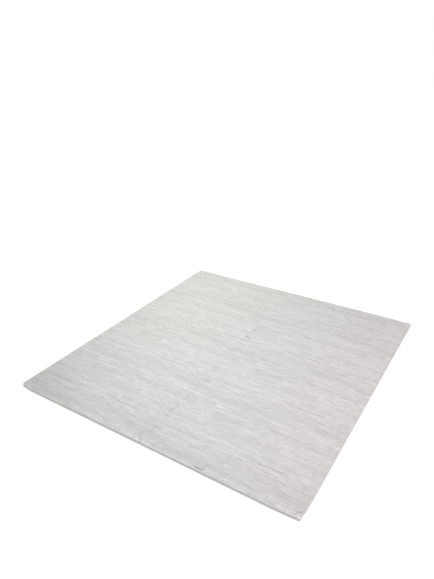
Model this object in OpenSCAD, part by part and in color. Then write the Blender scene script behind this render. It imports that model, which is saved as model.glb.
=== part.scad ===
// Square floor mat of four interlocking foam tiles, edged with eight straight border strips.
// Every piece is soft foam with a thin printed film on top, and its teeth lock into its neighbours'.
// Units are millimetres, +Z is up, and the origin is at the centre of the underside.
// +X runs along the front edge and +Y towards the back edge.

/* [Tiles] */
// Distance from one tile to the next, along the front and along the sides
tile_pitch = 610; // [450:5:750]
// Thickness of the mat, with its film
mat_t = 9.5; // [8:0.5:20]
// Thickness of the printed film on the foam
film_t = 0.2; // [0.1:0.05:0.5]

/* [Teeth] */
// Number of teeth along one side of a tile
teeth = 9; // [6:1:12]
// Depth of a tooth, from its root to its head
tooth_d = 23; // [18:1:28]
// Angle by which the flanks undercut the head of a tooth
undercut = 8; // [2:1:12]
// Radius of the corners of a tooth
tooth_r = 5; // [2:0.5:6]
// Gap between two pieces that lock together
seam_gap = 0.3; // [0.2:0.05:0.6]

/* [Border strips] */
// Width of the plain band between the heads of the teeth and the edge of the mat
border_web = 10.5; // [7:0.5:28]
// Radius of the mat's own corners
corner_r = 14; // [4:1:20]
// How far the slanted end of a strip runs along the edge
end_slant = 14; // [6:1:20]
// Radius at the outer end of the joint between two strips
end_r = 5; // [1:0.5:6]

/* [Hidden] */

// Foam and film colours
foam_colour = [0.83, 0.82, 0.8];
film_colour = [0.84, 0.835, 0.825];
// The foam reaches up to the film
foam_t = mat_t - film_t;
// Each piece stands back from the shared line by half the gap
inset = seam_gap / 2;
// Length of one tooth and one notch together
tooth_pitch = tile_pitch / teeth;
// How far a head corner overhangs the point where its flank crosses the middle line
overhang = tooth_d / 2 * tan(undercut);
// A tooth's corner stays short enough for two of them to fit on one flank
flank = tooth_d / cos(undercut);
tooth_fillet = min(tooth_r, 0.45 * flank / tan(45 + undercut / 2));
// Radius where the corners of the tiles meet, and of the thin tip of a strip
nook_r = 1.5;
tip_r = 1;
// Largest length of one straight step along an arc
arc_step = 2.2;
// Outer line of the border before the pieces stand back
rim = tile_pitch + tooth_d / 2 + border_web + inset;

// The direction of a vector, the direction to its left, and a vector turned by an angle
function unit(v) = v / norm(v);
function left_of(v) = [-v.y, v.x];
function turned(v, angle) = [v.x * cos(angle) - v.y * sin(angle), v.x * sin(angle) + v.y * cos(angle)];

// The corner between two edges, drawn back by the inset and rounded.
// A corner that sticks out loses the inset from its radius, and a hollow one gains it.
function rounded(before, at, after, radius) =
    let (
        d_in = unit(at - before),
        d_out = unit(after - at),
        n_in = left_of(d_in),
        n_out = left_of(d_out),
        turn = atan2(d_in.x * d_out.y - d_in.y * d_out.x, d_in * d_out),
        side = sign(turn),
        r = max(radius - side * inset, inset),
        steps = max(2, ceil(abs(turn) / 180 * PI * radius / arc_step)),
        vertex = at + inset * (n_in + n_out) / (1 + n_in * n_out),
        start = vertex - d_in * r * tan(abs(turn) / 2),
        centre = start + side * n_in * r
    )
    [for (k = [0 : steps]) centre + turned(start - centre, turn * k / steps)];

// The outline of a piece from its corners, each a point and a radius, listed anticlockwise
function outline(corners) =
    let (n = len(corners))
    [for (i = [0 : n - 1])
        each rounded(corners[(i + n - 1) % n][0], corners[i][0], corners[(i + 1) % n][0], corners[i][1])];

// The corners along one toothed side: distance along the side, height above its middle line.
// A side starts with a notch and ends with a tooth, so any two sides fit each other.
function toothed_side() = [
    for (k = [0 : teeth - 1])
        each [
            [k * tooth_pitch - overhang, -tooth_d / 2],
            [(k + 0.5) * tooth_pitch + overhang, -tooth_d / 2],
            [(k + 0.5) * tooth_pitch - overhang, tooth_d / 2],
            [(k + 1) * tooth_pitch + overhang, tooth_d / 2]
        ]
];

// The same corners as a tile shows them on its front side, which starts at x
function front_teeth(x) = [for (c = toothed_side()) [[x + c.x, -tile_pitch - c.y], tooth_fillet]];

// The same corners in the opposite order, as a border strip meets them
function front_sockets(x) =
    let (corners = front_teeth(x), n = len(corners))
    [for (i = [0 : n - 1]) corners[n - 1 - i]];

// The tile in the front left quarter, as four equal sides turned about its centre
module tile_outline() {
    centre = [-tile_pitch / 2, -tile_pitch / 2];
    side = concat([[[-tile_pitch, -tile_pitch], nook_r]], front_teeth(-tile_pitch));
    polygon(outline([
        for (quarter = [0 : 3], c = side) [centre + turned(c[0] - centre, 90 * quarter), c[1]]
    ]));
}

// The strip along the left half of the front edge, with both ends slanted
module plain_strip_outline() {
    polygon(outline(concat(
        [
            [[-tile_pitch + end_slant, -rim], end_r],
            [[end_slant, -rim], end_r],
            [[0, -tile_pitch], tip_r]
        ],
        front_sockets(-tile_pitch),
        [[[-tile_pitch, -tile_pitch], nook_r]]
    )));
}

// The strip along the right half of the front edge, which also carries the corner of the mat
module corner_strip_outline() {
    polygon(outline(concat(
        [
            [[end_slant, -rim], end_r],
            [[rim, -rim], corner_r + inset],
            [[rim, -tile_pitch + end_slant], end_r],
            [[tile_pitch, -tile_pitch], nook_r]
        ],
        front_sockets(0),
        [[[0, -tile_pitch], nook_r]]
    )));
}

// The foam of a piece, and the film on it, turned to the piece's quarter of the mat
module foam(quarter) {
    color(foam_colour) rotate([0, 0, 90 * quarter])
        linear_extrude(foam_t) children();
}

module film(quarter) {
    color(film_colour) rotate([0, 0, 90 * quarter])
        translate([0, 0, foam_t]) linear_extrude(film_t) children();
}

// Tiles
module front_left_tile() { foam(0) tile_outline(); }
module front_right_tile() { foam(1) tile_outline(); }
module back_right_tile() { foam(2) tile_outline(); }
module back_left_tile() { foam(3) tile_outline(); }

// Strips with two slanted ends
module front_plain_strip() { foam(0) plain_strip_outline(); }
module right_plain_strip() { foam(1) plain_strip_outline(); }
module back_plain_strip() { foam(2) plain_strip_outline(); }
module left_plain_strip() { foam(3) plain_strip_outline(); }

// Strips that carry a corner of the mat
module front_corner_strip() { foam(0) corner_strip_outline(); }
module right_corner_strip() { foam(1) corner_strip_outline(); }
module back_corner_strip() { foam(2) corner_strip_outline(); }
module left_corner_strip() { foam(3) corner_strip_outline(); }

// Printed film on the tiles
module front_left_tile_film() { film(0) tile_outline(); }
module front_right_tile_film() { film(1) tile_outline(); }
module back_right_tile_film() { film(2) tile_outline(); }
module back_left_tile_film() { film(3) tile_outline(); }

// Printed film on the strips with two slanted ends
module front_plain_strip_film() { film(0) plain_strip_outline(); }
module right_plain_strip_film() { film(1) plain_strip_outline(); }
module back_plain_strip_film() { film(2) plain_strip_outline(); }
module left_plain_strip_film() { film(3) plain_strip_outline(); }

// Printed film on the strips that carry a corner
module front_corner_strip_film() { film(0) corner_strip_outline(); }
module right_corner_strip_film() { film(1) corner_strip_outline(); }
module back_corner_strip_film() { film(2) corner_strip_outline(); }
module left_corner_strip_film() { film(3) corner_strip_outline(); }

front_left_tile();
front_right_tile();
back_right_tile();
back_left_tile();
front_plain_strip();
right_plain_strip();
back_plain_strip();
left_plain_strip();
front_corner_strip();
right_corner_strip();
back_corner_strip();
left_corner_strip();
front_left_tile_film();
front_right_tile_film();
back_right_tile_film();
back_left_tile_film();
front_plain_strip_film();
right_plain_strip_film();
back_plain_strip_film();
left_plain_strip_film();
front_corner_strip_film();
right_corner_strip_film();
back_corner_strip_film();
left_corner_strip_film();
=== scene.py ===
"""Looks of a square floor mat: four interlocking foam tiles in a border of eight straight strips.

Every piece is die-cut foam with a thin printed film glued on top, and each is built here as two
detailed meshes that stand for the plain CAD solids of the same name. Everything is in metres, in
the frame of the CAD model: X runs along the front edge, Y to the back and Z up.
"""

from __future__ import annotations

import logging
import math
from collections.abc import Sequence
from dataclasses import dataclass, field
from enum import Enum

import bpy
from mathutils import Matrix, Vector, noise
from mathutils.geometry import delaunay_2d_cdt
from mathutils.kdtree import KDTree

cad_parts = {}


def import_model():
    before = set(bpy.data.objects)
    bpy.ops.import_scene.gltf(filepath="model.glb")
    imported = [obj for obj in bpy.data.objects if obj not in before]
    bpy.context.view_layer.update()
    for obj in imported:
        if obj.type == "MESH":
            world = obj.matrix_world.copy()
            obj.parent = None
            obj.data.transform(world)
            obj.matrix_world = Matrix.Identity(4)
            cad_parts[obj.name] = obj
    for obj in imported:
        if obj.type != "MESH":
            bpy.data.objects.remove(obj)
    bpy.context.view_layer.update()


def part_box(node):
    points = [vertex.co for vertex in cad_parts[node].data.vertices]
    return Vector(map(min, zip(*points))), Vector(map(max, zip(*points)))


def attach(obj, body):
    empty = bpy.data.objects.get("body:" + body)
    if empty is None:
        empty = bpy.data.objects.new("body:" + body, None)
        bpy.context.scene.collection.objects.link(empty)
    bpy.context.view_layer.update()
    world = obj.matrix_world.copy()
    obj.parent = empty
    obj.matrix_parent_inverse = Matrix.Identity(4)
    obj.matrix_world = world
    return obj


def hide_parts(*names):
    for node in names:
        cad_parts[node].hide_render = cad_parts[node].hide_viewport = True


LOG = logging.getLogger("floor_mat")
MM = 0.001
Pair = tuple[float, float]
Triple = tuple[float, float, float]
Socket = bpy.types.NodeSocket
Number = float | Sequence[float] | Socket


# ---- Sizes and outlines ---------------------------------------------------------------------


@dataclass(frozen=True)
class MatSizes:
    """Sizes that all the pieces share. The first five are read from the frame.

    The four corner radii run anticlockwise from the mat's front right corner.
    """

    pitch: float
    rim: float
    tooth_depth: float
    thickness: float
    film: float
    teeth: int = 9
    undercut: float = math.radians(8)
    seam_gap: float = 0.3 * MM
    tooth_radius: float = 5 * MM
    fillet_share: float = 0.45
    nook_radius: float = 1.5 * MM
    tip_radius: float = 1 * MM
    corner_radii: tuple[float, ...] = (9 * MM, 3 * MM, 9 * MM, 8 * MM)
    end_slant: float = 14 * MM
    end_radius: float = 5 * MM

    @classmethod
    def from_frame(cls) -> MatSizes:
        """Reads the pitch, the depth of a tooth, the rim and the thicknesses off the CAD boxes.

        Returns:
            The sizes of the mat as packed.
        """
        low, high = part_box("front_left_tile")
        film_low, film_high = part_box("front_left_tile_film")
        _, corner_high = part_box("front_corner_strip")
        pitch = -(low.x + high.x)
        return cls(
            pitch=pitch,
            rim=corner_high.x,
            tooth_depth=high.x - low.x - pitch + cls.seam_gap,
            thickness=film_high.z,
            film=film_high.z - film_low.z,
        )

    @property
    def inset(self) -> float:
        """How far a piece stands back from the line that it shares with its neighbour."""
        return self.seam_gap / 2

    @property
    def tooth_fillet(self) -> float:
        """Radius of a tooth's corners.

        Returns:
            The wanted radius, or less where two of them wouldn't fit on one flank.
        """
        flank = self.tooth_depth / math.cos(self.undercut)
        room = self.fillet_share * flank / math.tan(math.pi / 4 + self.undercut / 2)
        return min(self.tooth_radius, room)


@dataclass(frozen=True)
class Corner:
    """A corner of a cut line, before it is rounded and drawn back from its neighbour."""

    at: Vector
    radius: float


def corner_at(x: float, y: float, radius: float) -> Corner:
    """A corner by its two coordinates and its radius."""
    return Corner(Vector((x, y)), radius)


@dataclass(frozen=True)
class CutPoint:
    """A point of a piece's outline, and the direction from it into the piece."""

    at: Vector
    inward: Vector


def left_of(direction: Vector) -> Vector:
    """The direction a quarter turn to the left."""
    return Vector((-direction.y, direction.x))


def turned(place: Vector, angle: float) -> Vector:
    """A point or a direction turned about the origin by an angle in radians."""
    return Matrix.Rotation(angle, 2) @ place


def extent(points: Sequence[Vector]) -> tuple[Vector, Vector]:
    """The front left and the back right corner of the box round some points, seen from above."""
    low = Vector((min(p.x for p in points), min(p.y for p in points)))
    return low, Vector((max(p.x for p in points), max(p.y for p in points)))


@dataclass(frozen=True)
class CutLine:
    """Turns the corners of a piece into the line along which the die cuts it.

    The arcs have a fixed number of steps each, and long straight runs are divided as well, so
    that the foam can sag and curl a little between its teeth.
    """

    inset: float
    arc_steps: int = 6
    fewest_steps: int = 3
    longest_run: float = 12 * MM

    def rounded(self, before: Vector, corner: Corner, after: Vector) -> list[CutPoint]:
        """Rounds one corner, drawn back by the inset.

        Args:
            before: The corner before this one.
            corner: The corner itself.
            after: The corner after this one.

        Returns:
            The points of the arc, in order.
        """
        heading_in = (corner.at - before).normalized()
        heading_out = (after - corner.at).normalized()
        left_in, left_out = left_of(heading_in), left_of(heading_out)
        turn = math.atan2(heading_in.cross(heading_out), heading_in.dot(heading_out))
        side = math.copysign(1, turn)
        radius = max(corner.radius - side * self.inset, self.inset)
        vertex = corner.at + (left_in + left_out) * self.inset / (1 + left_in.dot(left_out))
        start = vertex - heading_in * radius * math.tan(abs(turn) / 2)
        centre = start + left_in * side * radius
        steps = max(self.fewest_steps, math.ceil(self.arc_steps * abs(turn) / (math.pi / 2)))
        points = []
        for step in range(steps + 1):
            spoke = turned(start - centre, turn * step / steps)
            points.append(CutPoint(centre + spoke, -spoke.normalized() * side))
        return points

    def around(self, corners: Sequence[Corner]) -> list[CutPoint]:
        """The whole outline of a piece from its corners, listed anticlockwise.

        Args:
            corners: The corners of the shared lines around the piece.

        Returns:
            The outline's points, anticlockwise.
        """
        count = len(corners)
        arcs = [
            self.rounded(corners[i - 1].at, corners[i], corners[(i + 1) % count].at)
            for i in range(count)
        ]
        outline: list[CutPoint] = []
        for i, arc in enumerate(arcs):
            outline += arc
            outline += self.run(arc[-1], arcs[(i + 1) % count][0])
        return outline

    def run(self, start: CutPoint, end: CutPoint) -> list[CutPoint]:
        """The points between two arcs, without the arcs' own ends."""
        parts = math.ceil((end.at - start.at).length / self.longest_run)
        return [CutPoint(start.at.lerp(end.at, k / parts), start.inward) for k in range(1, parts)]


def toothed_side(sizes: MatSizes) -> list[Vector]:
    """The corners along one toothed side: distance along it, height above its middle line.

    A side starts with a notch and ends with a tooth, so any two sides fit each other.

    Args:
        sizes: The sizes of the mat.

    Returns:
        Four corners for every notch and tooth.
    """
    step, half = sizes.pitch / sizes.teeth, sizes.tooth_depth / 2
    overhang = half * math.tan(sizes.undercut)
    corners = []
    for k in range(sizes.teeth):
        corners += [
            Vector((k * step - overhang, -half)),
            Vector(((k + 0.5) * step + overhang, -half)),
            Vector(((k + 0.5) * step - overhang, half)),
            Vector(((k + 1) * step + overhang, half)),
        ]
    return corners


def front_teeth(sizes: MatSizes, start: float) -> list[Corner]:
    """The corners of a tile's front side, which starts at x = start."""
    radius = sizes.tooth_fillet
    return [corner_at(start + c.x, -sizes.pitch - c.y, radius) for c in toothed_side(sizes)]


# ---- How the foam lies and how its edges are cut --------------------------------------------


@dataclass(frozen=True)
class LooseSpot:
    """A short stretch of a piece's cut edge that stands back from its neighbour."""

    piece: str
    place: Pair
    reach: float
    opening: float

    def gap(self, piece: str, place: Vector) -> float:
        """How far a cut edge stands back, which is fullest in the inner half of the reach.

        Args:
            piece: The name of the piece.
            place: The place on its cut edge.

        Returns:
            The distance, which is zero on the other pieces and out of reach.
        """
        if piece != self.piece:
            return 0.0
        away = (place - Vector(self.place)).length / self.reach
        return self.opening * min(1.0, max(0.0, 2 - 2 * away))


@dataclass(frozen=True)
class ShrunkCorner:
    """A corner of the mat where the foam has drawn back: where, how far along, and which way.

    Only a band along the rim gives way, and most at the rim itself.
    """

    place: Pair
    reach: float
    pull: Pair
    band: float = 9 * MM

    def shift(self, place: Vector) -> Vector:
        """How far a point of an outline moves as the foam draws back.

        Args:
            place: The point.

        Returns:
            The step from the point to where it comes to lie.
        """
        off = place - Vector(self.place)
        near = max(0.0, 1 - off.length / self.reach) ** 2
        return Vector(
            pull * near * max(0.0, 1 - abs(away) / self.band) for pull, away in zip(self.pull, off)
        )


@dataclass(frozen=True)
class Lie:
    """How the foam lies on a floor: how its top rises and dips, and how its seams close.

    The mat as a whole is a little uneven, and each piece lifts or settles by itself along its
    cut edges. The pieces press against each other, so that a seam shows only where it is loose.
    """

    swell: float = 0.25 * MM
    swell_span: float = 0.28
    edge_lift: float = 0.1 * MM
    edge_span: float = 0.055
    edge_width: float = 22 * MM
    pressed: float = 0.11 * MM
    slack: float = 0.1 * MM
    slack_span: float = 0.03
    loose: tuple[LooseSpot, ...] = (
        LooseSpot("front_left_tile", (0.0115, -0.559), 0.021, 0.85 * MM),
        LooseSpot("front_left_tile", (0.0115, -0.489), 0.023, 0.5 * MM),
        LooseSpot("front_left_tile", (0.0115, -0.430), 0.022, 0.55 * MM),
        LooseSpot("front_left_tile", (0.0115, -0.414), 0.016, 0.65 * MM),
        LooseSpot("front_left_tile", (0.0115, -0.354), 0.023, 0.95 * MM),
        LooseSpot("front_left_tile", (0.0115, -0.288), 0.023, 0.85 * MM),
        LooseSpot("front_left_tile", (0.0115, -0.221), 0.022, 0.7 * MM),
        LooseSpot("front_right_tile", (-0.0115, -0.600), 0.013, 1.2 * MM),
        LooseSpot("front_corner_strip", (0.010, -0.626), 0.02, 0.4 * MM),
        LooseSpot("front_corner_strip", (0.262, -0.6265), 0.026, 2.0 * MM),
        LooseSpot("front_corner_strip", (0.276, -0.5985), 0.009, 0.5 * MM),
        LooseSpot("front_corner_strip", (0.622, -0.602), 0.022, 2.0 * MM),
        LooseSpot("front_corner_strip", (0.604, -0.6215), 0.016, 0.6 * MM),
        LooseSpot("left_corner_strip", (-0.5985, -0.148), 0.016, 1.2 * MM),
        LooseSpot("front_plain_strip", (-0.602, -0.622), 0.02, 0.3 * MM),
        LooseSpot("back_plain_strip", (0.603, 0.62), 0.025, 0.3 * MM),
        LooseSpot("right_corner_strip", (0.628, 0.011), 0.014, 1.4 * MM),
        LooseSpot("back_left_tile", (-0.003, 0.009), 0.012, 2.2 * MM),
        LooseSpot("back_left_tile", (0.0, 0.1356), 0.019, 2.9 * MM),
        LooseSpot("back_left_tile", (0.0, 0.2033), 0.016, 3.0 * MM),
    )
    shrunk: tuple[ShrunkCorner, ...] = (
        ShrunkCorner((-0.632, -0.632), 0.07, (0, 9 * MM), 22 * MM),
        ShrunkCorner((0.632, -0.632), 0.15, (-3.5 * MM, 3 * MM)),
        ShrunkCorner((0.632, 0.632), 0.3, (0, -4.5 * MM)),
    )

    def shrunk_to(self, place: Vector) -> Vector:
        """Where a point of an outline lies once the corners of the mat have drawn back."""
        return sum((corner.shift(place) for corner in self.shrunk), place.copy())

    def top(self, place: Vector, edge: float, seed: int) -> float:
        """The rise of the top at a place.

        Args:
            place: The place on the mat.
            edge: How far the place lies from the piece's own cut edge.
            seed: A number of the piece's own.

        Returns:
            The rise, below zero where the foam dips.
        """
        whole = noise.noise(Vector((place.x, place.y, 0)) / self.swell_span)
        own = noise.noise(Vector((place.x, place.y, seed)) / self.edge_span)
        near = max(0.0, 1 - edge / self.edge_width) ** 2
        return self.swell * whole + self.edge_lift * own * near

    def drawn_back(self, piece: str, place: Vector, seed: int) -> float:
        """How far the cut edge stands back from where the die was set.

        Args:
            piece: The name of the piece.
            place: The place on the cut edge, inside the mat.
            seed: The piece's own number.

        Returns:
            The distance, below zero where the foam swells against its neighbour.
        """
        wander = noise.noise(Vector((place.x, place.y, seed + 0.5)) / self.slack_span)
        opened = max(spot.gap(piece, place) for spot in self.loose)
        return self.slack * max(0.0, wander) + opened - self.pressed


@dataclass(frozen=True)
class Ring:
    """A level line round a piece: how far it lies inside the outline, and how high."""

    reach: float
    height: float


@dataclass(frozen=True)
class CutProfile:
    """The section of a die-cut edge: the film bends over the foam, whose side is a bit hollow."""

    top_radius: float = 0.3 * MM
    foot_radius: float = 0.4 * MM
    waist: float = 0.14 * MM
    waist_rings: tuple[float, ...] = (0.35, 0.65)
    glue: float = 0.02 * MM
    flat: float = 0.6 * MM
    bend_steps: int = 2

    def bend(self, sizes: MatSizes, under: float) -> list[Ring]:
        """The rings over the top edge, from the side up to the flat top.

        Args:
            sizes: The sizes of the mat.
            under: How far below the outer face of the film the surface lies.

        Returns:
            The rings, from the lowest up, with one more on the flat.
        """
        springing, radius = sizes.thickness - self.top_radius, self.top_radius - under
        angles = [math.pi / 2 * step / self.bend_steps for step in range(self.bend_steps + 1)]
        rings = [
            Ring(self.top_radius - radius * math.cos(angle), springing + radius * math.sin(angle))
            for angle in angles
        ]
        return [*rings, Ring(self.top_radius + self.flat, rings[-1].height)]

    def foam(self, sizes: MatSizes) -> list[Ring]:
        """The foam's rings.

        Args:
            sizes: The sizes of the mat.

        Returns:
            The rings, from the flat underside to the flat under the film.
        """
        radius = self.foot_radius
        foot = [
            Ring(radius * (1 - math.sin(angle)), radius * (1 - math.cos(angle)))
            for angle in (0, math.pi / 4, math.pi / 2)
        ]
        springing = sizes.thickness - self.top_radius
        waist = [
            Ring(self.waist * math.sin(math.pi * share), springing * share)
            for share in self.waist_rings
        ]
        top = self.bend(sizes, sizes.film + self.glue)
        return [Ring(radius + self.flat, 0), *foot, *waist, Ring(0, springing), *top]

    def film(self, sizes: MatSizes) -> list[Ring]:
        """The film's rings, from its underface round the cut rim to its printed face."""
        return self.bend(sizes, sizes.film)[::-1] + self.bend(sizes, 0)


class Shell:
    """A closed mesh made of rings round a piece, with a flat skin at its first and last ring."""

    WALL_STEP = 0.7 * MM
    ROOM = 5 * MM
    ROOM_SHARE = 0.85
    RIM_WIDTH = 2 * MM
    SHARP = math.radians(50)
    SAME_PLACE = 1e-9
    ON_WALL = WALL_STEP / 100

    def __init__(self, piece: MatPiece, seed: int) -> None:
        """Takes what all the meshes of one piece share.

        Args:
            piece: The piece.
            seed: The piece's own number.
        """
        self.outline = outline = piece.outline()
        self.sizes = sizes = piece.sizes
        self.lie = lie = piece.lie
        self.seed = seed
        self.deepest = max(ring.reach for ring in piece.profile.foam(sizes))
        outer = sizes.rim - sizes.inset
        self.slack = [
            lie.drawn_back(piece.name, p.at, seed) if max(map(abs, p.at)) < outer else 0.0
            for p in outline
        ]
        walls = [
            point.at.lerp(following.at, share)
            for point, following in zip(outline, [*outline[1:], outline[0]])
            for share in self.shares((following.at - point.at).length)
        ]
        self.edges = KDTree(len(walls))
        for i, place in enumerate(walls):
            self.edges.insert((place.x, place.y, 0), i)
        self.edges.balance()
        self.room = [self.room_at(point) for point in outline]

    @classmethod
    def shares(cls, run: float) -> list[float]:
        """Even shares of a run, close enough together to stand for the whole wall."""
        parts = max(1, math.ceil(run / cls.WALL_STEP))
        return [k / parts for k in range(parts)]

    def room_at(self, point: CutPoint) -> float:
        """How far a ring may be drawn into the piece before it meets one from another side.

        Args:
            point: A point of the outline.

        Returns:
            Most of the radius of the largest circle inside the piece that touches the point.
        """
        room = self.ROOM
        for place, _, _ in self.edges.find_range((point.at.x, point.at.y, 0), 2 * self.ROOM):
            away = place.xy - point.at
            depth = away.dot(point.inward)
            if depth > self.ON_WALL:
                room = min(room, away.length_squared / (2 * depth))
        return room * self.ROOM_SHARE

    def drawn_in(self, reach: float) -> list[Vector]:
        """Draws the outline into the piece, by less where the piece is thin.

        Args:
            reach: How far.

        Returns:
            The places of the outline's points.
        """
        places = []
        for point, slack, room in zip(self.outline, self.slack, self.room):
            squeeze = min(1.0, room / self.deepest)
            back = min(slack, room - squeeze * self.deepest)
            places.append(point.at + point.inward * (squeeze * reach + back))
        return places

    def raised(self, place: Vector, height: float) -> Vector:
        """Puts a place at its height, moved up or down as the foam lies there.

        Args:
            place: The place on the mat.
            height: Its height in a piece that lies quite flat.

        Returns:
            The point.
        """
        _, _, edge = self.edges.find((place.x, place.y, 0))
        share = min(1.0, height / self.sizes.thickness)
        rise = self.lie.top(place, edge, self.seed) * share * share
        return Vector((place.x, place.y, height + rise))

    def skin(self, ring: Sequence[Vector], grid: float) -> tuple[list[Vector], list[list[int]]]:
        """Fills a ring with triangles over a square grid of points.

        Args:
            ring: The points of the ring, anticlockwise.
            grid: The spacing of the points inside.

        Returns:
            The points inside, and the triangles, which count the ring's points first.
        """
        low, high = extent(ring)
        columns, rows = (math.floor(span / grid) for span in high - low)
        start = low + (high - low - Vector((columns, rows)) * grid) / 2
        lattice = [
            start + Vector((i, j)) * grid for i in range(columns + 1) for j in range(rows + 1)
        ]
        kept = [p for p in lattice if self.edges.find((p.x, p.y, 0))[2] > grid / 2]
        _, _, faces, origin, _, _ = delaunay_2d_cdt(
            [*ring, *kept], [], [list(range(len(ring)))], 1, self.SAME_PLACE
        )
        given = {new: sources[0] for new, sources in enumerate(origin) if sources}
        used = sorted({given[i] for face in faces for i in face if given[i] >= len(ring)})
        renumbered = {old: len(ring) + k for k, old in enumerate(used)}
        triangles = [[renumbered.get(given[i], given[i]) for i in face] for face in faces]
        return [kept[i - len(ring)] for i in used], triangles

    def mesh(self, name: str, rings: Sequence[Ring], grid: float) -> bpy.types.Mesh:
        """Builds the closed mesh.

        Args:
            name: The name of the mesh.
            rings: The rings, from the one with the lower skin to the one with the upper skin.
            grid: The spacing of the points inside the skins.

        Returns:
            The mesh, with the attribute rim, which is one on the cut side and fades on the flat.
        """
        count = len(self.outline)
        flat_rings = [self.drawn_in(ring.reach) for ring in rings]
        points = [
            self.raised(place, ring.height)
            for ring, places in zip(rings, flat_rings)
            for place in places
        ]
        faces = []
        for level in range(len(rings) - 1):
            low, high = level * count, (level + 1) * count
            for i in range(count):
                j = (i + 1) % count
                faces.append([low + i, low + j, high + j, high + i])
        rim = [1 - min(1.0, ring.reach / self.RIM_WIDTH) for ring in rings for _ in range(count)]
        for level, upwards in ((0, False), (len(rings) - 1, True)):
            inside, triangles = self.skin(flat_rings[level], grid)
            first_inside = len(points)
            points += [self.raised(place, rings[level].height) for place in inside]
            rim += [0.0] * len(inside)
            on_ring, off_ring = level * count, first_inside - count
            for triangle in triangles:
                corners = [i + (on_ring if i < count else off_ring) for i in triangle]
                faces.append(corners if upwards else corners[::-1])
        mesh = bpy.data.meshes.new(name)
        mesh.from_pydata(points, [], faces)
        mesh.attributes.new("rim", "FLOAT", "POINT").data.foreach_set("value", rim)
        mesh.shade_smooth()
        mesh.set_sharp_from_angle(angle=self.SHARP)
        mesh.validate()
        return mesh


# ---- Finishes -------------------------------------------------------------------------------


def linear(red: float, green: float, blue: float) -> tuple[float, float, float, float]:
    """A colour as the eye reads it, from 0 to 1 a channel, turned into light values."""
    return tuple(
        c / 12.92 if c <= 0.04045 else ((c + 0.055) / 1.055) ** 2.4 for c in (red, green, blue)
    ) + (1.0,)


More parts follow.
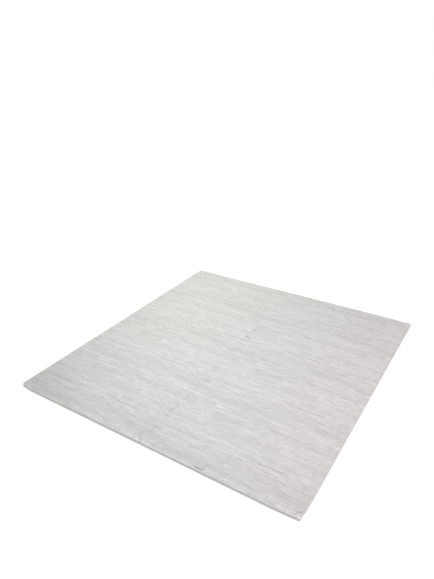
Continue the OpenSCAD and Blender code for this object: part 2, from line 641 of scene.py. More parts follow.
class Nodes:
    """Writes shader nodes: adds them, sets their inputs and links them."""

    def __init__(self, tree: bpy.types.NodeTree) -> None:
        """Starts on an empty tree."""
        self.tree = tree
        tree.nodes.clear()

    def feed(self, node: bpy.types.Node, key: str | int, value: Number) -> None:
        """Links a socket to one of a node's inputs, or sets the input to a plain value.

        Args:
            node: The node.
            key: The name or the number of its input.
            value: The socket or the value.
        """
        if isinstance(value, Socket):
            self.tree.links.new(value, node.inputs[key])
        else:
            node.inputs[key].default_value = value

    def add(
        self, kind: str, inputs: dict[str | int, Number] | None = None, **settings: object
    ) -> bpy.types.Node:
        """Adds one node.

        Args:
            kind: The node's type.
            inputs: Values or sockets for its inputs, by name or number.
            settings: Properties of the node.

        Returns:
            The new node.
        """
        node = self.tree.nodes.new(kind)
        for key, value in settings.items():
            setattr(node, key, value)
        for key, value in (inputs or {}).items():
            self.feed(node, key, value)
        return node

    def math(
        self, operation: str, a: Number, b: Number = 0.0, c: Number = 0.0, clamp: bool = False
    ) -> Socket:
        """A number worked out from up to three others."""
        node = self.add("ShaderNodeMath", {0: a, 1: b, 2: c}, operation=operation, use_clamp=clamp)
        return node.outputs[0]

    def times(self, a: Number, b: Number) -> Socket:
        """Two numbers multiplied."""
        return self.math("MULTIPLY", a, b)

    def plus(self, start: Number, part: Number, share: Number) -> Socket:
        """A number with a share of another one added."""
        return self.math("MULTIPLY_ADD", part, share, start)

    def centred(self, value: Number) -> Socket:
        """A number from 0 to 1, moved to lie about zero."""
        return self.math("SUBTRACT", value, 0.5)

    def away(self, value: Number, other: Number) -> Socket:
        """How far one number lies from another."""
        return self.math("ABSOLUTE", self.math("SUBTRACT", value, other))

    def vector(self, x: Number, y: Number, z: Number = 0.0) -> Socket:
        """A vector from its three parts."""
        return self.add("ShaderNodeCombineXYZ", {0: x, 1: y, 2: z}).outputs[0]

    def parts(self, vector: Socket) -> tuple[Socket, ...]:
        """The three parts of a vector or a colour."""
        return tuple(self.add("ShaderNodeSeparateXYZ", {0: vector}).outputs)

    def scaled(self, vector: Number, scale: Number) -> Socket:
        """A vector made longer or shorter."""
        node = self.add("ShaderNodeVectorMath", {0: vector, "Scale": scale}, operation="SCALE")
        return node.outputs[0]

    def bump(self, height: Number, distance: float, strength: float) -> Socket:
        """The normal of a surface with a fine relief."""
        inputs = {"Height": height, "Distance": distance, "Strength": strength}
        return self.add("ShaderNodeBump", inputs).outputs[0]

    def ramp(
        self,
        value: Number,
        low: Number,
        high: Number,
        to_low: Number = 0.0,
        to_high: Number = 1.0,
        smooth: bool = False,
    ) -> Socket:
        """Maps a value from one range to another and holds it inside that.

        Args:
            value: The value.
            low: Where its range starts.
            high: Where its range ends.
            to_low: What the start becomes.
            to_high: What the end becomes.
            smooth: Whether the change is gentle at both ends.

        Returns:
            The mapped value.
        """
        inputs = {"Value": value, "From Min": low, "From Max": high}
        inputs |= {"To Min": to_low, "To Max": to_high}
        kind = "SMOOTHSTEP" if smooth else "LINEAR"
        return self.add("ShaderNodeMapRange", inputs, interpolation_type=kind).outputs[0]

    def grain(self, place: Number, detail: float = 2.0, rough: float = 0.5) -> Socket:
        """Soft noise at a place, from about 0 to 1 with its middle at a half."""
        inputs = {"Vector": place, "Scale": 1.0, "Detail": detail, "Roughness": rough}
        return self.add("ShaderNodeTexNoise", inputs, noise_dimensions="3D").outputs["Fac"]

    def round_grain(
        self,
        turns: Number,
        radius: Number,
        up: Number,
        seed: Number,
        detail: float,
        rough: float = 0.6,
    ) -> Socket:
        """Soft noise that repeats with every turn of a circle.

        Args:
            turns: The place along the circle, counted in turns.
            radius: The circle's radius, in steps of the noise.
            up: The place across it, in steps of the noise.
            seed: A number that picks the noise.
            detail: How many finer layers the noise has.
            rough: How strong each finer layer is beside the one before.

        Returns:
            The noise, from about 0 to 1 with its middle at a half.
        """
        angle = self.times(turns, 2 * math.pi)
        wide, deep = (self.times(self.math(wave, angle), radius) for wave in ("COSINE", "SINE"))
        inputs = {"Vector": self.vector(wide, deep, up), "W": seed, "Scale": 1.0}
        inputs |= {"Detail": detail, "Roughness": rough}
        return self.add("ShaderNodeTexNoise", inputs, noise_dimensions="4D").outputs["Fac"]

    def mix(self, share: Number, a: Number, b: Number, blend: str = "MIX") -> Socket:
        """Two colours mixed."""
        inputs = {0: share, 6: a, 7: b}
        return self.add("ShaderNodeMix", inputs, data_type="RGBA", blend_type=blend).outputs[2]


def node_group(
    name: str,
    inputs: Sequence[tuple[str, str, Number]],
    outputs: Sequence[tuple[str, str]],
) -> tuple[bpy.types.NodeTree, Nodes, bpy.types.Node]:
    """Starts a shader node group with named inputs and outputs.

    Args:
        name: The group's name.
        inputs: The name, socket kind and usual value of each input.
        outputs: The name and socket kind of each output.

    Returns:
        The group, a writer for its nodes, and its input node.
    """
    tree = bpy.data.node_groups.new(name, "ShaderNodeTree")
    for label, kind, usual in inputs:
        socket = tree.interface.new_socket(label, in_out="INPUT", socket_type=kind)
        socket.default_value = usual
    for label, kind in outputs:
        tree.interface.new_socket(label, in_out="OUTPUT", socket_type=kind)
    nodes = Nodes(tree)
    return tree, nodes, nodes.add("NodeGroupInput")


@dataclass(frozen=True)
class Streaks:
    """A layer of streaks in the print: their length and thickness, and how much they show."""

    long: float
    thick: float
    share: float
    detail: float = 2.0


@dataclass(frozen=True)
class Cells:
    """How each row is cut into lengths: how many to a repeat, and how uneven they are.

    The cuts wander with a number of waves to a repeat, and the seed picks the random numbers.
    """

    count: int
    uneven: float
    waves: int
    seed: float


@dataclass(frozen=True)
class StavePrint:
    """The print of narrow wooden staves, which repeats itself along and across the wood.

    A range called side or along says where a mark fades out across or along the wood, one called
    picked says which random numbers let it show, and one called middle says where it may lie.
    The noise of two staves lies up to seed_span steps apart, and the cuts of each row lag behind
    those of the row before by row_lag, an angle of their waves.
    """

    repeat: float = 632 * MM
    rows: int = 14
    row_height: float = 310 * MM / 14
    wander: float = 20 * MM
    wander_radius: float = 0.32
    seed_span: float = 40.0
    row_lag: float = 2.4
    slope: float = 0.06
    staves: Cells = Cells(2, 0.24, 1, 0.0)
    patches: Cells = Cells(5, 0.3, 2, 0.5)
    bands: Streaks = Streaks(300 * MM, 17 * MM, 0.09, 1.0)
    bars: Streaks = Streaks(200 * MM, 9 * MM, 0.24, 1.0)
    broad: Streaks = Streaks(60 * MM, 6 * MM, 0.24)
    flecks: Streaks = Streaks(16 * MM, 6.5 * MM, 0.27, 1.0)
    narrow: Streaks = Streaks(46 * MM, 2.0 * MM, 0.44, 3.0)
    fine: Streaks = Streaks(12 * MM, 1.0 * MM, 0.52, 3.0)
    pores: Streaks = Streaks(8 * MM, 0.4 * MM, -0.05, 1.0)
    pore_depth: Pair = (0.12, 0.24)
    tone: float = 0.06
    line: float = -0.1
    line_middle: Pair = (0.2, 0.8)
    line_side: Pair = (0.6 * MM, 2.4 * MM)
    line_along: Pair = (0.05, 0.9)
    line_picked: Pair = (0.5, 0.8)
    line_rough: float = 2 * MM
    patch: float = 0.08
    patch_tone: float = 0.052
    patch_middle: Pair = (0.35, 0.65)
    patch_side: Pair = (0.17, 0.27)
    patch_along: Pair = (0.2, 1.0)
    patch_picked: Pair = (0.55, 0.75)
    joint: float = -0.05
    joint_side: Pair = (0.47, 0.5)
    joint_picked: Pair = (0.3, 0.8)
    warmth: Pair = (0.008, -0.005)
    grain_gain: float = 1.6
    fine_relief: float = 0.6

    def group(self) -> bpy.types.NodeTree:
        """Makes the print as a node group.

        Returns:
            A group whose outputs are the colour, the darkness of the grain and the emboss.
        """
        tree, n, given = node_group(
            "stave_print",
            [
                ("Place", "NodeSocketVector", (0, 0, 0)),
                ("Colour", "NodeSocketColor", (0.6, 0.6, 0.6, 1)),
                ("Contrast", "NodeSocketFloat", 1.0),
            ],
            [
                ("Colour", "NodeSocketColor"),
                ("Grain", "NodeSocketFloat"),
                ("Emboss", "NodeSocketFloat"),
            ],
        )
        x, y, _ = n.parts(given.outputs["Place"])
        turns = n.math("DIVIDE", x, self.repeat)
        # The wood is not quite straight, so its lines wander a few millimetres.
        drift = n.centred(n.round_grain(turns, self.wander_radius, 0.0, 0.0, 1.0))
        level = n.math("DIVIDE", n.plus(y, drift, self.wander), self.row_height)
        level = n.math("FLOORED_MODULO", level, self.rows)
        row = n.math("FLOOR", level)
        in_row = n.math("FRACT", level)
        row_dice = n.add("ShaderNodeTexWhiteNoise", {"W": row}, noise_dimensions="1D").outputs[0]
        turns = n.math("ADD", turns, row_dice)
        here, dice = self.cut(n, self.staves, turns, row)
        spread = n.times(n.centred(here), self.repeat / self.staves.count)
        # The grain of a stave runs slightly uphill or downhill.
        slope = n.times(n.centred(dice[2]), self.slope)
        lift = n.plus(n.times(in_row, self.row_height), spread, slope)
        seed = n.times(dice[1], self.seed_span)

        def streaks(layer: Streaks, up: Number, number: Number) -> Socket:
            """Noise drawn out along the wood.

            Args:
                layer: The layer of streaks.
                up: The place across the wood.
                number: A number that picks the noise.

            Returns:
                The noise, about its middle of zero.
            """
            radius = self.repeat / (2 * math.pi * layer.long)
            up = n.math("DIVIDE", up, layer.thick)
            return n.centred(n.round_grain(turns, radius, up, number, layer.detail))

        broad, narrow, fine = (streaks(s, lift, seed) for s in (self.broad, self.narrow, self.fine))
        pores = n.ramp(streaks(self.pores, lift, seed), *self.pore_depth)
        joint = n.ramp(n.away(in_row, 0.5), *self.joint_side)
        joint = n.times(joint, n.ramp(dice[2], *self.joint_picked))
        patch, patch_tone = self.pale_patch(n, turns, row, in_row)
        # Everything darkens or lightens the print by a share.
        shade = n.times(n.centred(dice[0]), self.tone)
        for part, share in (
            (streaks(self.bands, n.times(level, self.row_height), 0.0), self.bands.share),
            (streaks(self.bars, lift, seed), self.bars.share),
            (broad, self.broad.share),
            (streaks(self.flecks, lift, seed), self.flecks.share),
            (narrow, self.narrow.share),
            (fine, self.fine.share),
            (pores, self.pores.share),
            (joint, self.joint),
            (self.dark_line(n, here, lift, dice, broad), self.line),
            (patch, self.patch),
            (patch_tone, self.patch_tone),
        ):
            shade = n.plus(shade, part, share)
        factor = n.plus(1.0, shade, given.outputs["Contrast"])
        hue = n.times(n.centred(dice[1]), given.outputs["Contrast"])
        red, blue = (n.plus(factor, hue, share) for share in self.warmth)
        colour = n.mix(1.0, given.outputs["Colour"], n.vector(red, factor, blue), "MULTIPLY")
        grain = n.math("SUBTRACT", 0.5, n.times(narrow, self.grain_gain), clamp=True)
        emboss = n.math("SUBTRACT", n.plus(narrow, fine, self.fine_relief), pores)
        n.add("NodeGroupOutput", {"Colour": colour, "Grain": grain, "Emboss": emboss})
        return tree

    def cut(
        self, n: Nodes, cells: Cells, turns: Number, row: Number
    ) -> tuple[Socket, tuple[Socket, ...]]:
        """Cuts a row into lengths.

        Args:
            n: The writer of the group's nodes.
            cells: How the row is cut.
            turns: The place along the row, counted in repeats.
            row: The number of the row.

        Returns:
            The place in the length, from 0 to 1, and three random numbers of its own.
        """
        wave = n.plus(n.times(row, self.row_lag), turns, 2 * math.pi * cells.waves)
        along = n.plus(n.times(turns, cells.count), n.math("SINE", wave), cells.uneven)
        number = n.math("FLOORED_MODULO", n.math("FLOOR", along), cells.count)
        source = {"Vector": n.vector(number, row, cells.seed)}
        dice = n.add("ShaderNodeTexWhiteNoise", source, noise_dimensions="3D")
        return n.math("FRACT", along), n.parts(dice.outputs["Color"])

    def dark_line(
        self, n: Nodes, here: Number, lift: Number, dice: Sequence[Number], broad: Number
    ) -> Socket:
        """A dark line in the grain of some staves, stronger towards the end of the stave.

        Args:
            n: The writer of the group's nodes.
            here: The place along the stave, from 0 to 1.
            lift: The place across the stave's grain.
            dice: The stave's three random numbers.
            broad: The noise that makes the line uneven.

        Returns:
            The strength of the line, from 0 to 1.
        """
        middle = n.times(n.ramp(dice[0], 0.0, 1.0, *self.line_middle), self.row_height)
        off = n.plus(n.away(lift, middle), broad, self.line_rough)
        strength = n.times(n.ramp(here, *self.line_along), n.ramp(dice[1], *self.line_picked))
        return n.times(n.ramp(off, *self.line_side, 1.0, 0.0), strength)

    def pale_patch(
        self, n: Nodes, turns: Number, row: Number, in_row: Number
    ) -> tuple[Socket, Socket]:
        """A pale patch here and there, with a square left end.

        Args:
            n: The writer of the group's nodes.
            turns: The place along the row, counted in repeats.
            row: The number of the row.
            in_row: The place across the row, from 0 to 1.

        Returns:
            The strength of the patch, from 0 to 1, and a tone about zero for its whole length.
        """
        here, dice = self.cut(n, self.patches, turns, row)
        off = n.away(in_row, n.ramp(dice[0], 0.0, 1.0, *self.patch_middle))
        strength = n.ramp(here, *self.patch_along, 1.0, 0.0)
        strength = n.times(strength, n.ramp(dice[1], *self.patch_picked))
        strength = n.times(n.ramp(off, *self.patch_side, 1.0, 0.0), strength)
        return strength, n.centred(dice[2])


@dataclass(frozen=True)
class FoamCells:
    """The closed cells of the foam: cloudy over many cells, and paler at the walls of each."""

    cloud: float = 0.06
    middle: float = 0.45
    cell_share: float = 0.5
    walls: Pair = (0.1, 0.8)

    def group(self) -> bpy.types.NodeTree:
        """Makes the cells as a node group.

        Returns:
            A group whose outputs are a tone for each cell and the height of the cell walls.
        """
        tree, n, given = node_group(
            "foam_cells",
            [("Place", "NodeSocketVector", (0, 0, 0)), ("Cell", "NodeSocketFloat", 0.7 * MM)],
            [("Tone", "NodeSocketFloat"), ("Walls", "NodeSocketFloat")],
        )
        scaled = n.scaled(given.outputs["Place"], n.math("DIVIDE", 1.0, given.outputs["Cell"]))
        inputs = {"Vector": scaled, "Scale": 1.0}
        cells = n.add("ShaderNodeTexVoronoi", inputs, voronoi_dimensions="3D").outputs["Distance"]
        cloud = n.grain(n.scaled(scaled, self.cloud), 3.0, 0.6)
        tone = n.plus(cloud, n.math("SUBTRACT", cells, self.middle), self.cell_share)
        n.add("NodeGroupOutput", {"Tone": tone, "Walls": n.ramp(cells, *self.walls)})
        return tree


@dataclass(frozen=True)
class ScuffedEdge:
    """Wear along a cut edge, patchy where hands and feet have rubbed it."""

    worn: Pair = (0.4, 0.65)

    def group(self) -> bpy.types.NodeTree:
        """Makes the wear as a node group.

        Returns:
            A group whose output is the mask of the wear.
        """
        tree, n, given = node_group(
            "scuffed_edge",
            [
                ("Place", "NodeSocketVector", (0, 0, 0)),
                ("Rim", "NodeSocketFloat", 0.0),
                ("Patch", "NodeSocketFloat", 0.03),
                ("Amount", "NodeSocketFloat", 0.5),
            ],
            [("Wear", "NodeSocketFloat")],
        )
        scaled = n.scaled(given.outputs["Place"], n.math("DIVIDE", 1.0, given.outputs["Patch"]))
        patch = n.ramp(n.grain(scaled, 4.0, 0.65), *self.worn, smooth=True)
        wear = n.times(n.times(patch, given.outputs["Rim"]), given.outputs["Amount"])
        n.add("NodeGroupOutput", {"Wear": wear})
        return tree


@dataclass(frozen=True)
class Finish:
    """A finish of the mat: the material that it makes and the groups that it draws on."""

    name: str
    groups: dict[str, bpy.types.NodeTree] = field(repr=False)

    def material(self) -> bpy.types.Material:
        """Makes the material.

        Returns:
            The material, whose looks feed one Principled BSDF.
        """
        material = bpy.data.materials.new(self.name)
        material.use_nodes = True
        nodes = Nodes(material.node_tree)
        shader = nodes.add("ShaderNodeBsdfPrincipled")
        nodes.add("ShaderNodeOutputMaterial", {"Surface": shader.outputs[0]})
        for name, value in zip(("Base Color", "Roughness", "Normal"), self.looks(nodes)):
            nodes.feed(shader, name, value)
        return material

    def looks(self, n: Nodes) -> tuple[Socket, Socket, Socket]:
        """The colour, the roughness and the normal of the finish."""
        raise NotImplementedError

    def group(self, nodes: Nodes, name: str, inputs: dict[str, Number]) -> bpy.types.Node:
        """Places one of the groups in a material."""
        return nodes.add("ShaderNodeGroup", inputs, node_tree=self.groups[name])

    def wear(self, nodes: Nodes, place: Number, patch: float, amount: float) -> Number:
        """The wear on the cut edge, which is strongest on the side and ends on the flat.

        Args:
            nodes: The writer of the material's nodes.
            place: The place on the piece.
            patch: The usual size of a worn patch.
            amount: How strong the wear is.

        Returns:
            The mask of the wear.
        """
        rim = nodes.add("ShaderNodeAttribute", attribute_name="rim").outputs["Fac"]
        inputs = {"Place": place, "Rim": rim, "Patch": patch, "Amount": amount}
        return self.group(nodes, "scuffed_edge", inputs).outputs["Wear"]


@dataclass(frozen=True)
class PrintedFilm(Finish):
    """Matte film printed with pale grey wooden staves and finely embossed, with painted shade at
    the mat's front left corner.
    """

    colour: Triple = (0.84, 0.836, 0.83)
    edge_colour: Triple = (0.8, 0.79, 0.78)
    contrast: float = 1.16
    roughness: float = 0.52
    grain_roughness: float = 0.12
    wear_roughness: float = 0.15
    wear_patch: float = 20 * MM
    wear_amount: float = 0.7
    emboss: float = 0.06 * MM
    emboss_strength: float = 0.6
    # Painted shade towards the mat's front left corner: its middle, its reach, and the share of the
    # colour kept there.
    painted_shade_at: Triple = (-0.632, -0.632, 0.0)
    painted_shade_reach: Pair = (0.1, 0.34)
    painted_shade_level: float = 0.9

    def looks(self, n: Nodes) -> tuple[Socket, Socket, Socket]:
        """The looks of the printed face.

        Args:
            n: The writer of the material's nodes.

        Returns:
            The colour, the roughness and the normal.
        """
        place = n.add("ShaderNodeAttribute", attribute_name="print_place").outputs["Vector"]
        inputs = {"Place": place, "Colour": linear(*self.colour), "Contrast": self.contrast}
        staves = self.group(n, "stave_print", inputs)
        # Painted shade: the print is darkened towards the mat's front left corner.
        spot = {0: n.add("ShaderNodeTexCoord").outputs["Object"], 1: self.painted_shade_at}
        away = n.add("ShaderNodeVectorMath", spot, operation="DISTANCE").outputs["Value"]
        shade = n.ramp(away, *self.painted_shade_reach, self.painted_shade_level, 1.0, smooth=True)
        colour = n.mix(1.0, staves.outputs["Colour"], n.vector(shade, shade, shade), "MULTIPLY")
        wear = self.wear(n, place, self.wear_patch, self.wear_amount)
        colour = n.mix(wear, colour, linear(*self.edge_colour))
        rough = self.roughness - self.grain_roughness / 2
        rough = n.plus(rough, staves.outputs["Grain"], self.grain_roughness)
        rough = n.plus(rough, wear, self.wear_roughness)
        return colour, rough, n.bump(staves.outputs["Emboss"], self.emboss, self.emboss_strength)


@dataclass(frozen=True)
class CutFoam(Finish):
    """The sides of the foam, where the die has opened its cells."""

    colour: Triple = (0.845, 0.832, 0.815)
    deep_colour: Triple = (0.755, 0.752, 0.748)
    cell: float = 0.7 * MM
    pale_cells: Pair = (0.2, 0.9)
    roughness: float = 0.82
    cell_roughness: float = 0.1
    wear_patch: float = 15 * MM
    wear_amount: float = 0.35
    relief: float = 0.1 * MM
    relief_strength: float = 0.5

    def looks(self, n: Nodes) -> tuple[Socket, Socket, Socket]:
        """The looks of the cut sides.

        Args:
            n: The writer of the material's nodes.

        Returns:
            The colour, the roughness and the normal.
        """
        place = n.add("ShaderNodeTexCoord").outputs["Object"]
        cells = self.group(n, "foam_cells", {"Place": place, "Cell": self.cell})
        pale, deep = linear(*self.colour), linear(*self.deep_colour)
        colour = n.mix(n.ramp(cells.outputs["Tone"], *self.pale_cells), deep, pale)
        colour = n.mix(self.wear(n, place, self.wear_patch, self.wear_amount), colour, deep)
        rough = n.plus(self.roughness, cells.outputs["Tone"], self.cell_roughness)
        return colour, rough, n.bump(cells.outputs["Walls"], self.relief, self.relief_strength)


@dataclass(frozen=True)
class FoamBack(Finish):
    """The underside of the foam, pressed with small dimples that keep it from slipping."""

    colour: Triple = (0.82, 0.808, 0.79)
    dimple_pitch: float = 4 * MM
    dimple_side: Pair = (-0.4, 0.6)
    dimple_tone: float = 0.08
    cell: float = 0.9 * MM
    cell_tone: float = 0.12
    cell_relief: float = 0.15
    relief: float = 0.25 * MM
    relief_strength: float = 0.8
    roughness: float = 0.75

    def looks(self, n: Nodes) -> tuple[Socket, Socket, Socket]:
        """The looks of the underside.

        Args:
            n: The writer of the material's nodes.

        Returns:
            The colour, the roughness and the normal.
        """
        place = n.add("ShaderNodeTexCoord").outputs["Object"]
        x, y, _ = n.parts(place)
        waves = [
            n.math("SINE", n.times(axis, 2 * math.pi / self.dimple_pitch))
            for axis in (n.math("ADD", x, y), n.math("SUBTRACT", x, y))
        ]
        dimples = n.ramp(n.times(*waves), *self.dimple_side, smooth=True)
        cells = self.group(n, "foam_cells", {"Place": place, "Cell": self.cell})
        height = n.plus(dimples, cells.outputs["Walls"], self.cell_relief)
        shade = n.plus(1 - self.cell_tone, cells.outputs["Tone"], self.cell_tone)
        shade = n.plus(shade, dimples, self.dimple_tone)
        colour = n.mix(1.0, linear(*self.colour), n.vector(shade, shade, shade), "MULTIPLY")
        rough = n.plus(self.roughness, cells.outputs["Tone"], self.cell_tone)
        return colour, rough, n.bump(height, self.relief, self.relief_strength)


@dataclass(frozen=True)
class Finishes:
    """The three finishes of the mat, as materials."""

    film: bpy.types.Material
    side: bpy.types.Material
    back: bpy.types.Material

    @classmethod
    def made(cls) -> Finishes:
        """Builds the shared node groups and the materials.

        Returns:
            The finishes.
        """
        groups = {
            "stave_print": StavePrint().group(),
            "foam_cells": FoamCells().group(),
            "scuffed_edge": ScuffedEdge().group(),
        }
        return cls(
            film=PrintedFilm("printed_film", groups).material(),
            side=CutFoam("cut_foam", groups).material(),
            back=FoamBack("foam_back", groups).material(),
        )


# ---- The pieces of the mat ------------------------------------------------------------------


def add_object(name: str, data: bpy.types.ID) -> bpy.types.Object:
    """Puts a mesh, a lamp or a camera in the scene.

    Args:
        name: The name of the object.
        data: The mesh, the lamp or the camera.

    Returns:
        The object.
    """
    made = bpy.data.objects.new(name, data)
    bpy.context.scene.collection.objects.link(made)
    return made


class Quarter(Enum):
    """A quarter of the mat, by the number of quarter turns from the front left one."""

    FRONT = 0
    RIGHT = 1
    BACK = 2
    LEFT = 3


class Row(Enum):
    """A row of tiles, by how far its print is moved along the wood."""

    FRONT = 0.0
    BACK = 158 * MM


@dataclass
class MatPiece:
    """One cut piece of the mat: a foam body with the printed film on it."""

    name: str
    quarter: Quarter
    sizes: MatSizes
    finishes: Finishes
    profile: CutProfile = field(default_factory=CutProfile)
    lie: Lie = field(default_factory=Lie)
    slot: str = "tile_foam"
    grid: float = 14 * MM
    print_repeat: float = 632 * MM
    facing_down: float = -0.95

    def corners(self) -> list[Corner]:
        """The piece's corners as they lie before it is turned to its quarter."""
        raise NotImplementedError

    def outline(self) -> list[CutPoint]:
        """The piece's outline where it lies in the mat.

        Returns:
            Its points, anticlockwise.
        """
        angle = math.pi / 2 * self.quarter.value
        points = []
        for point in CutLine(self.sizes.inset).around(self.corners()):
            place, inward = turned(point.at, angle), turned(point.inward, angle)
            points.append(CutPoint(self.lie.shrunk_to(place), inward))
        return points

    def print_place(self, point: Vector, middle: Vector) -> Vector:
        """Where a point of this piece lies on the printed film.

        Args:
            point: The point on the mat.
            middle: The middle of the piece.

        Returns:
            The place on the print.
        """
        row = Row.FRONT if middle.y < 0 else Row.BACK
        start = -self.print_repeat if middle.x < 0 else 0.0
        return Vector((point.x - start + row.value, point.y + self.print_repeat, 0))

    def print_on(self, mesh: bpy.types.Mesh) -> None:
        """Stores where each point of the film lies on the print.

        Args:
            mesh: The film's mesh.
        """
        low, high = extent([v.co for v in mesh.vertices])
        middle = (low + high) / 2
        places = [c for v in mesh.vertices for c in self.print_place(v.co, middle)]
        stored = mesh.attributes.new("print_place", "FLOAT_VECTOR", "POINT")
        stored.data.foreach_set("vector", places)

    def place(self, mesh: bpy.types.Mesh, node: str, slot: str) -> bpy.types.Object:
        """Puts a mesh in the scene to stand for a CAD node, riding on this piece's body.

        Args:
            mesh: The mesh.
            node: The CAD node.
            slot: The name of a material slot for its finish, which is not used.

        Returns:
            The object.
        """
        made = add_object(mesh.name, mesh)
        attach(made, self.name)
        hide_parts(node)
        return made

    def foam(self, shell: Shell) -> bpy.types.Object:
        """Builds and dresses the foam body.

        Args:
            shell: The writer of this piece's meshes.

        Returns:
            The foam's object.
        """
        mesh = shell.mesh(f"{self.name}_foam", self.profile.foam(self.sizes), self.grid)
        mesh.materials.append(self.finishes.side)
        mesh.materials.append(self.finishes.back)
        for face in mesh.polygons:
            if face.normal.z < self.facing_down:
                face.material_index = 1
        piece = self.place(mesh, self.name, self.slot)
        return piece

    def film(self, shell: Shell) -> bpy.types.Object:
        """Builds and dresses the printed film.

        Args:
            shell: The writer of this piece's meshes.

        Returns:
            The film's object.
        """
        mesh = shell.mesh(f"{self.name}_print", self.profile.film(self.sizes), self.grid)
        self.print_on(mesh)
        mesh.materials.append(self.finishes.film)
        return self.place(mesh, f"{self.name}_film", "wood_print_film")

    def build(self, seed: int) -> list[bpy.types.Object]:
        """Builds the whole piece.

        Args:
            seed: A number of the piece's own.

        Returns:
            The foam and the film.
        """
        shell = Shell(self, seed)
        return [self.foam(shell), self.film(shell)]


class Tile(MatPiece):
    """A square tile with teeth on all four sides."""

    def corners(self) -> list[Corner]:
        """Four equal sides, turned about the tile's own centre.

        Returns:
            The corners, anticlockwise.
        """
        s = self.sizes
        centre = Vector((-s.pitch / 2, -s.pitch / 2))
        side = [corner_at(-s.pitch, -s.pitch, s.nook_radius), *front_teeth(s, -s.pitch)]
        return [
            Corner(centre + turned(c.at - centre, math.pi / 2 * k), c.radius)
            for k in range(4)
            for c in side
        ]


@dataclass
class Strip(MatPiece):
    """A border strip, which is narrower than a tile and has a finer mesh."""

    slot: str = "strip_foam"
    grid: float = 9 * MM


class PlainStrip(Strip):
    """A border strip with two slanted ends, along the left half of a side of the mat."""

    def corners(self) -> list[Corner]:
        """The straight edge with its two ends, then the sockets for the tile's teeth.

        Returns:
            The corners, anticlockwise.
        """
        s = self.sizes
        edge = -s.rim - s.inset
        return [
            corner_at(-s.pitch + s.end_slant, edge, s.end_radius),
            corner_at(s.end_slant, edge, s.end_radius),
            corner_at(0, -s.pitch, s.tip_radius),
            *front_teeth(s, -s.pitch)[::-1],
            corner_at(-s.pitch, -s.pitch, s.nook_radius),
        ]


class CornerStrip(Strip):
    """A border strip along the right half of a side, which also carries a corner of the mat."""

    def corners(self) -> list[Corner]:
        """The straight edge, the mat's own corner, and the sockets for the tile's teeth.

        Returns:
            The corners, anticlockwise.
        """
        s = self.sizes
        edge = s.rim + s.inset
        return [
            corner_at(s.end_slant, -edge, s.end_radius),
            corner_at(edge, -edge, s.corner_radii[self.quarter.value] + s.inset),
            corner_at(edge, -s.pitch + s.end_slant, s.end_radius),
            corner_at(s.pitch, -s.pitch, s.nook_radius),
            *front_teeth(s, 0)[::-1],
            corner_at(0, -s.pitch, s.nook_radius),
        ]


TILES = {
    "front_left_tile": Quarter.FRONT,
    "front_right_tile": Quarter.RIGHT,
    "back_right_tile": Quarter.BACK,
    "back_left_tile": Quarter.LEFT,
}


# ---- Studio ---------------------------------------------------------------------------------


@dataclass(frozen=True)
class Camera:
    """The camera: where it stands, and how it is turned, in degrees."""

    place: Triple = (0.9978, -1.5169, 1.2638)
    heading: float = 31.06
    pitch: float = 27.43
    roll: float = -0.81
    lens: float = 30.22
    sensor: float = 36.0
    shift_x: float = -0.0537

    def build(self) -> None:
        """Makes the camera and makes it the scene's own."""
        data = bpy.data.cameras.new("camera")
        data.lens, data.sensor_width = self.lens, self.sensor
        data.shift_x = self.shift_x
        data.clip_start, data.clip_end = 0.01, 100
        camera = add_object("camera", data)
        camera.matrix_world = (
            Matrix.Translation(self.place)
            @ Matrix.Rotation(math.radians(self.heading), 4, "Z")
            @ Matrix.Rotation(math.radians(90 - self.pitch), 4, "X")
            @ Matrix.Rotation(math.radians(self.roll), 4, "Z")
        )
        bpy.context.scene.camera = camera


@dataclass(frozen=True)
class Lamp:
    """A soft lamp: its name, where it hangs, its width, its power and what it faces.

    A lamp with a length is a strip, which runs from front to back. The others are square.
    """

    name: str
    place: Triple
    size: float
    power: float
    target: Triple | None = None
    colour: Triple = (1.0, 1.0, 1.0)
    glare: bool = True
    length: float | None = None

    def build(self) -> None:
        """Hangs the lamp, facing straight down if it has no target."""
        data = bpy.data.lights.new(self.name, "AREA")
        data.shape = "RECTANGLE"
        data.energy, data.size, data.size_y = self.power, self.size, self.length or self.size
        data.color = self.colour
        lamp = add_object(self.name, data)
        lamp.location = self.place
        lamp.visible_glossy = self.glare
        if self.target:
            facing = Vector(self.target) - Vector(self.place)
            lamp.rotation_euler = facing.to_track_quat("-Z", "Y").to_euler()


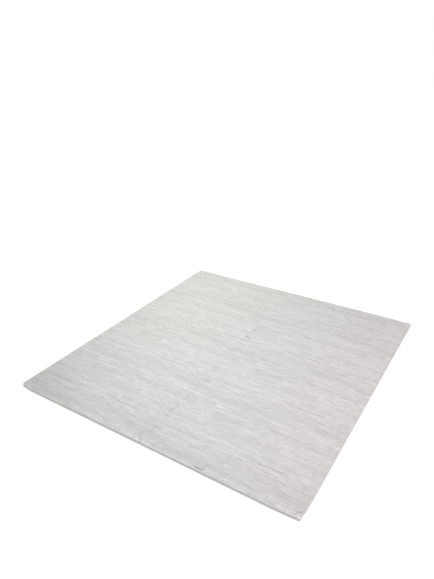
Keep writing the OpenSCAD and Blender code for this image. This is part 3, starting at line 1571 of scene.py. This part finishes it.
@dataclass(frozen=True)
class Studio:
    """A pale floor, an even white room and soft lamps."""

    floor_size: float = 14.0
    floor_drop: float = 0.1 * MM
    floor_colour: Triple = (0.95, 0.95, 0.95)
    floor_glow: float = 0.35
    glow_start: float = 0.75
    glow_end: float = 1.3
    ambient: float = 0.421
    lamps: tuple[Lamp, ...] = (
        Lamp("key_lamp", (0.07, -0.2, 1.5), 1.2, 11.1, colour=(1.0, 0.997, 1.0)),
        Lamp("far_lamp", (-0.78, 0.71, 1.3), 0.5, 6.2, colour=(1.0, 1.0, 0.917)),
        Lamp("front_lamp", (0.4, -2.7, 0.2), 0.4, 7.0, (0.3, -0.5, 0.0), glare=False),
        Lamp("side_lamp", (2.5, -0.9, 0.22), 0.4, 13.0, (0.5, -0.3, 0.0), (0.98, 0.95, 1.0), False),
        Lamp("rosy_lamp", (0.95, 0.1, 0.4), 0.1, 1.08, None, (1.0, 0.7, 0.84), False, 1.6),
    )

    def seen(self, nodes: Nodes) -> Socket:
        """Whether a ray comes from the camera, a gloss or a glass, which see the backdrop.

        Args:
            nodes: The writer of the material's nodes.

        Returns:
            One where it does, and zero elsewhere.
        """
        path = nodes.add("ShaderNodeLightPath").outputs
        gloss = nodes.math("MAXIMUM", path["Is Glossy Ray"], path["Is Transmission Ray"])
        return nodes.math("MAXIMUM", path["Is Camera Ray"], gloss)

    def room(self) -> None:
        """Makes the world: white where it is seen, and the ambient light everywhere else."""
        world = bpy.data.worlds.new("room")
        world.use_nodes = True
        n = Nodes(world.node_tree)
        strength = n.math("MAXIMUM", self.seen(n), self.ambient)
        back = n.add("ShaderNodeBackground", {"Color": (1, 1, 1, 1), "Strength": strength})
        n.add("ShaderNodeOutputWorld", {"Surface": back.outputs[0]})
        bpy.context.scene.world = world

    def floor(self) -> None:
        """Makes the floor, which keeps the mat's shadow and turns quite white further away."""
        half = self.floor_size / 2
        corners = ((-half, -half), (half, -half), (half, half), (-half, half))
        mesh = bpy.data.meshes.new("floor")
        mesh.from_pydata([(x, y, -self.floor_drop) for x, y in corners], [], [(0, 1, 2, 3)])
        material = bpy.data.materials.new("studio_floor")
        material.use_nodes = True
        n = Nodes(material.node_tree)
        x, y, _ = n.parts(n.add("ShaderNodeTexCoord").outputs["Object"])
        away = n.math("MAXIMUM", n.math("ABSOLUTE", x), n.math("ABSOLUTE", y))
        glow = n.ramp(away, self.glow_start, self.glow_end, self.floor_glow, 1.0, smooth=True)
        matt = n.add("ShaderNodeBsdfDiffuse", {"Color": linear(*self.floor_colour)})
        shine = n.times(self.seen(n), glow)
        lit = n.add("ShaderNodeEmission", {"Color": (1, 1, 1, 1), "Strength": shine})
        both = n.add("ShaderNodeAddShader", {0: matt.outputs[0], 1: lit.outputs[0]})
        n.add("ShaderNodeOutputMaterial", {"Surface": both.outputs[0]})
        mesh.materials.append(material)
        add_object("floor", mesh)

    def build(self) -> None:
        """Makes the whole studio."""
        bpy.context.scene.view_settings.view_transform = "Standard"
        self.room()
        self.floor()
        for lamp in self.lamps:
            lamp.build()


def main() -> None:
    """Builds the studio and the mat, piece by piece."""
    logging.basicConfig(level=logging.INFO, format="%(name)s: %(message)s")
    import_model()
    Camera().build()
    Studio().build()
    sizes = MatSizes.from_frame()
    finishes = Finishes.made()
    pieces: list[MatPiece] = []
    for name, quarter in TILES.items():
        pieces.append(Tile(name, quarter, sizes, finishes))
    for quarter in Quarter:
        side = quarter.name.lower()
        pieces.append(PlainStrip(f"{side}_plain_strip", quarter, sizes, finishes))
        pieces.append(CornerStrip(f"{side}_corner_strip", quarter, sizes, finishes))
    for seed, piece in enumerate(pieces, start=1):
        made = piece.build(seed)
        faces = sum(len(o.data.polygons) for o in made)
        LOG.info("%s: %d meshes, %d faces", piece.name, len(made), faces)


if __name__ == "__main__":
    main()
